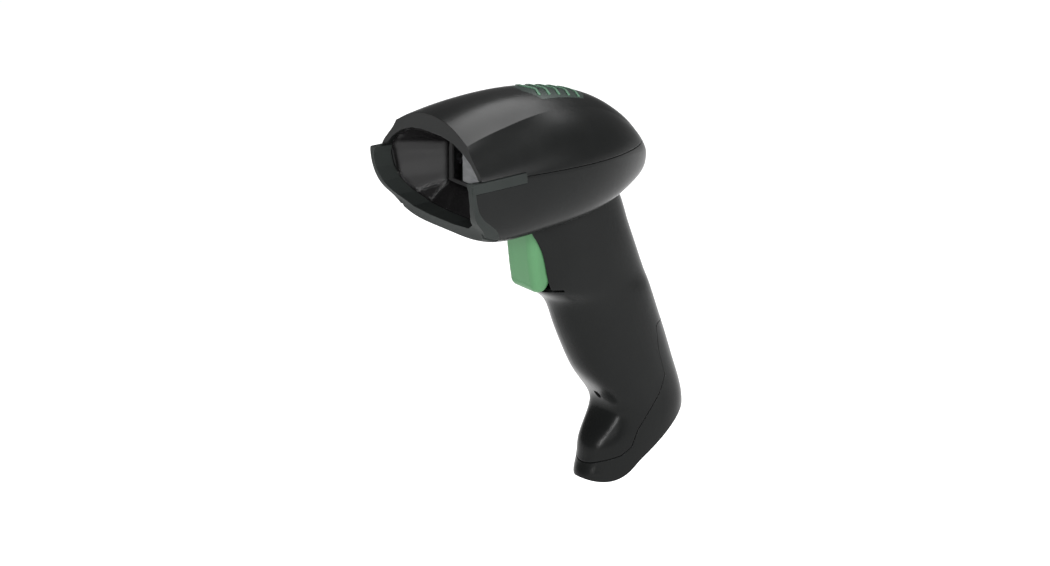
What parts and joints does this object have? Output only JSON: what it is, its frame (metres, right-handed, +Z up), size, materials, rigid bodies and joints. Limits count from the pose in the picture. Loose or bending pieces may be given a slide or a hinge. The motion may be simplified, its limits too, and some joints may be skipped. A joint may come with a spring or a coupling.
{
  "type": "handheld barcode scanner",
  "caption": "Pistol-grip cordless barcode scanner: long head with hexagonal scan window, side-armed nose bumper, green trigger and sliding battery door.",
  "frame": {"origin": "middle of the hand grip, on its centre line", "axes": "+Z up with the head level, -Y towards the scan window (nose), +X to the left-hand flank seen from behind the nose; X = 0 is the plane of symmetry"},
  "size_m": [0.065, 0.1278, 0.1699],
  "materials": {
    "cover_black": "fine spark-eroded texture, satin",
    "housing_black": "fine spark-eroded texture, satin",
    "bumper_grey": "satin overmould",
    "shield_black": "polished black",
    "window_glass": "tinted, coated",
    "seal_rubber": "dull",
    "trigger_green": "satin moulded",
    "inlay_green": "satin",
    "wave_green": "translucent",
    "inner_black": "moulded",
    "lens_glass": "coated",
    "led_clear": "clear",
    "aimer_red": "tinted clear",
    "board_green": "solder mask",
    "chip_black": "moulded epoxy",
    "can_steel": "tinned",
    "flex_amber": "polyimide film",
    "screw_steel": "blackened zinc",
    "spring_steel": "drawn wire",
    "gold_contact": "gold plated",
    "cell_wrap": "shrink sleeve",
    "motor_steel": "drawn can"
  },
  "bodies": {
    "housing": {"top_cover": "cover_black", "main_housing": "housing_black", "nose_bumper": "bumper_grey", "sound_grille": "inlay_green", "status_waves": "wave_green", "light_shield": "shield_black", "window_gasket": "seal_rubber", "scan_window": "window_glass", "imager_chassis": "inner_black", "lens_barrel": "inner_black", "front_lens": "lens_glass", "image_sensor": "chip_black", "sensor_board": "board_green", "illumination_leds": "led_clear", "aimer_led": "aimer_red", "flex_cable": "flex_amber", "main_board": "board_green", "processor": "chip_black", "memory_chip": "chip_black", "radio_module": "can_steel", "board_screws": "screw_steel", "cover_screws": "screw_steel", "neck_screw": "screw_steel", "housing_seal": "seal_rubber", "ui_board": "board_green", "status_led": "led_clear", "light_pipe": "wave_green", "beeper": "chip_black", "beeper_gasket": "seal_rubber", "trigger_pin": "screw_steel", "trigger_spring": "spring_steel", "trigger_switch": "chip_black", "switch_board": "board_green", "battery_cell": "cell_wrap", "battery_cradle": "inner_black", "battery_contacts": "spring_steel", "vibration_motor": "motor_steel", "motor_bracket": "inner_black"},
    "door": {"battery_door": "housing_black", "latch_spring": "spring_steel", "charge_contacts": "gold_contact", "contact_board": "board_green"},
    "latch": {"door_latch": "housing_black"},
    "trigger": {"trigger": "trigger_green"},
    "plunger": {"switch_plunger": "aimer_red"},
    "rotor": {"motor_weight": "can_steel"}
  },
  "joints": [
    {"name": "trigger_pull", "type": "hinge", "parent": "housing", "child": "trigger", "pos_m": [0, -0.041, 0.054], "axis": [1, 0, 0], "range_deg": [0, 5], "stiffness_Nm_per_rad": 0.9, "springref_deg": -6.88},
    {"name": "plunger_press", "type": "slide", "parent": "housing", "child": "plunger", "axis": [0, 1, 0], "range_m": [0, 0.0023]},
    {"name": "motor_spin", "type": "hinge", "parent": "housing", "child": "rotor", "pos_m": [0, -0.0155, 0.0595], "axis": [1, 0, 0], "continuous": true},
    {"name": "door_slide", "type": "slide", "parent": "housing", "child": "door", "axis": [0, 0.3811, -0.9245], "range_m": [0, 0.06]},
    {"name": "latch_press", "type": "slide", "parent": "door", "child": "latch", "axis": [0, -1, 0], "range_m": [0, 0.0012], "stiffness_N_per_m": 1500, "springref_m": -0.0006}
  ],
  "couplings": [
    {"joint": "plunger_press", "follows": "trigger_pull", "m_per_rad": 0.024}
  ]
}
